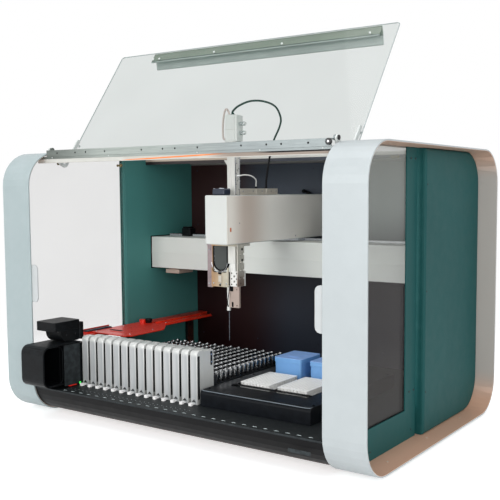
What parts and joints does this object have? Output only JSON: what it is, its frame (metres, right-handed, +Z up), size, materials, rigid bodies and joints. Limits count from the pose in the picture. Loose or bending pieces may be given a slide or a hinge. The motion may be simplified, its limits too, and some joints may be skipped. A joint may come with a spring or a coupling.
{
  "type": "blood grouping analyzer",
  "caption": "Bench analyzer with a clear swing-up lid, a gantry arm with a pipetting needle, pull-out tube racks and a stage for plates and reagents.",
  "frame": {"origin": "under the middle of the object's box, on the surface that the feet stand on, with the lid open", "axes": "+X to the right along the front, +Y from the front to the back, +Z up"},
  "size_m": [1.058, 0.751, 0.9524],
  "materials": {
    "band_silver": "silver-grey paint, satin",
    "cabinet_green": "dark teal-green paint, satin",
    "window_clear": "clear sheet, polished",
    "base_black": "black paint, satin",
    "deck_black": "black coating, fine texture",
    "inner_dark": "blue-black paint, satin",
    "cover_white": "off-white powder coat",
    "aluminium": "extruded aluminium, anodised satin",
    "rubber_black": "moulded rubber, matt",
    "inlet_black": "moulded plastic, matt",
    "arm_white": "white powder coat",
    "steel": "ground steel",
    "motor_dark": "dark blue-grey coat, satin",
    "plate_beige": "beige-grey coat, satin",
    "bracket_bronze": "bronze-coloured anodising",
    "mast_white": "white coat, satin",
    "cable_black": "black jacket, matt",
    "tube_white": "white tube, satin",
    "rack_grey": "light grey moulded plastic",
    "stage_black": "black anodised, satin",
    "plate_white": "white moulded plastic",
    "box_blue": "blue moulded plastic",
    "scanner_black": "black moulded plastic, satin",
    "transport_red": "red anodised, satin",
    "lid_clear": "clear sheet, polished edges",
    "handle_olive": "dark olive-grey anodising",
    "catch_grey": "grey moulded plastic, satin"
  },
  "bodies": {
    "cabinet": {"left_band": "band_silver", "left_side_frame": "cabinet_green", "left_window": "window_clear", "left_rear_cover": "cabinet_green", "left_foot": "rubber_black", "left_catch": "catch_grey", "right_band": "band_silver", "right_side_frame": "cabinet_green", "right_window": "window_clear", "right_rear_cover": "cabinet_green", "right_foot": "rubber_black", "right_catch": "catch_grey", "base_housing": "base_black", "deck": "deck_black", "inner_back_panel": "inner_dark", "rear_cover": "cover_white", "power_inlet": "inlet_black", "front_rail": "aluminium", "x_beam": "arm_white", "x_guide_rail": "steel", "plate_stage": "stage_black", "microplate_left": "plate_white", "microplate_right": "plate_white", "reagent_box_left": "box_blue", "reagent_box_right": "box_blue", "scanner_cover": "scanner_black", "scanner_head": "scanner_black", "red_rail": "transport_red"},
    "lid": {"lid_panel": "lid_clear", "lid_handle": "handle_olive", "left_lid_arm": "base_black", "right_lid_arm": "base_black"},
    "arm": {"x_trolley": "steel", "arm_cover": "arm_white", "arm_plate": "plate_beige", "y_motor": "motor_dark", "mast_cable": "cable_black", "loop_tube": "tube_white"},
    "carriage": {"z_mast": "mast_white", "mast_top_block": "mast_white", "z_bracket": "bracket_bronze", "z_belt": "cable_black"},
    "needle_head": {"needle_holder": "mast_white", "needle": "steel"},
    "sample_rack_01": {"rack_01": "rack_grey"},
    "sample_rack_02": {"rack_02": "rack_grey"},
    "sample_rack_03": {"rack_03": "rack_grey"},
    "sample_rack_04": {"rack_04": "rack_grey"},
    "sample_rack_05": {"rack_05": "rack_grey"},
    "sample_rack_06": {"rack_06": "rack_grey"},
    "sample_rack_07": {"rack_07": "rack_grey"},
    "sample_rack_08": {"rack_08": "rack_grey"},
    "sample_rack_09": {"rack_09": "rack_grey"},
    "sample_rack_10": {"rack_10": "rack_grey"},
    "sample_rack_11": {"rack_11": "rack_grey"},
    "sample_rack_12": {"rack_12": "rack_grey"},
    "sample_rack_13": {"rack_13": "rack_grey"},
    "sample_rack_14": {"rack_14": "rack_grey"},
    "red_transport": {"red_carriage": "transport_red"},
    "switch_rocker": {"power_switch": "inlet_black"}
  },
  "joints": [
    {"name": "lid_hinge", "type": "hinge", "parent": "cabinet", "child": "lid", "pos_m": [0, -0.266, 0.683], "axis": [1, 0, 0], "range_deg": [0, 215]},
    {"name": "arm_along_beam", "type": "slide", "parent": "cabinet", "child": "arm", "axis": [1, 0, 0], "range_m": [-0.275, 0.35]},
    {"name": "carriage_along_arm", "type": "slide", "parent": "arm", "child": "carriage", "axis": [0, 1, 0], "range_m": [0, 0.15], "deforming": ["mast_cable", "loop_tube"]},
    {"name": "needle_lift", "type": "slide", "parent": "carriage", "child": "needle_head", "axis": [0, 0, 1], "range_m": [-0.034, 0.015]},
    {"name": "rack_01_pull", "type": "slide", "parent": "cabinet", "child": "sample_rack_01", "axis": [0, -1, 0], "range_m": [0, 0.3]},
    {"name": "rack_02_pull", "type": "slide", "parent": "cabinet", "child": "sample_rack_02", "axis": [0, -1, 0], "range_m": [0, 0.3]},
    {"name": "rack_03_pull", "type": "slide", "parent": "cabinet", "child": "sample_rack_03", "axis": [0, -1, 0], "range_m": [0, 0.3]},
    {"name": "rack_04_pull", "type": "slide", "parent": "cabinet", "child": "sample_rack_04", "axis": [0, -1, 0], "range_m": [0, 0.3]},
    {"name": "rack_05_pull", "type": "slide", "parent": "cabinet", "child": "sample_rack_05", "axis": [0, -1, 0], "range_m": [0, 0.3]},
    {"name": "rack_06_pull", "type": "slide", "parent": "cabinet", "child": "sample_rack_06", "axis": [0, -1, 0], "range_m": [0, 0.3]},
    {"name": "rack_07_pull", "type": "slide", "parent": "cabinet", "child": "sample_rack_07", "axis": [0, -1, 0], "range_m": [0, 0.3]},
    {"name": "rack_08_pull", "type": "slide", "parent": "cabinet", "child": "sample_rack_08", "axis": [0, -1, 0], "range_m": [0, 0.3]},
    {"name": "rack_09_pull", "type": "slide", "parent": "cabinet", "child": "sample_rack_09", "axis": [0, -1, 0], "range_m": [0, 0.3]},
    {"name": "rack_10_pull", "type": "slide", "parent": "cabinet", "child": "sample_rack_10", "axis": [0, -1, 0], "range_m": [0, 0.3]},
    {"name": "rack_11_pull", "type": "slide", "parent": "cabinet", "child": "sample_rack_11", "axis": [0, -1, 0], "range_m": [0, 0.3]},
    {"name": "rack_12_pull", "type": "slide", "parent": "cabinet", "child": "sample_rack_12", "axis": [0, -1, 0], "range_m": [0, 0.3]},
    {"name": "rack_13_pull", "type": "slide", "parent": "cabinet", "child": "sample_rack_13", "axis": [0, -1, 0], "range_m": [0, 0.3]},
    {"name": "rack_14_pull", "type": "slide", "parent": "cabinet", "child": "sample_rack_14", "axis": [0, -1, 0], "range_m": [0, 0.3]},
    {"name": "red_transport_run", "type": "slide", "parent": "cabinet", "child": "red_transport", "axis": [0, 1, 0], "range_m": [-0.045, 0.07]},
    {"name": "switch_rock", "type": "hinge", "parent": "cabinet", "child": "switch_rocker", "pos_m": [0.319, 0.3693, 0.14], "axis": [1, 0, 0], "range_deg": [-16, 0]}
  ]
}
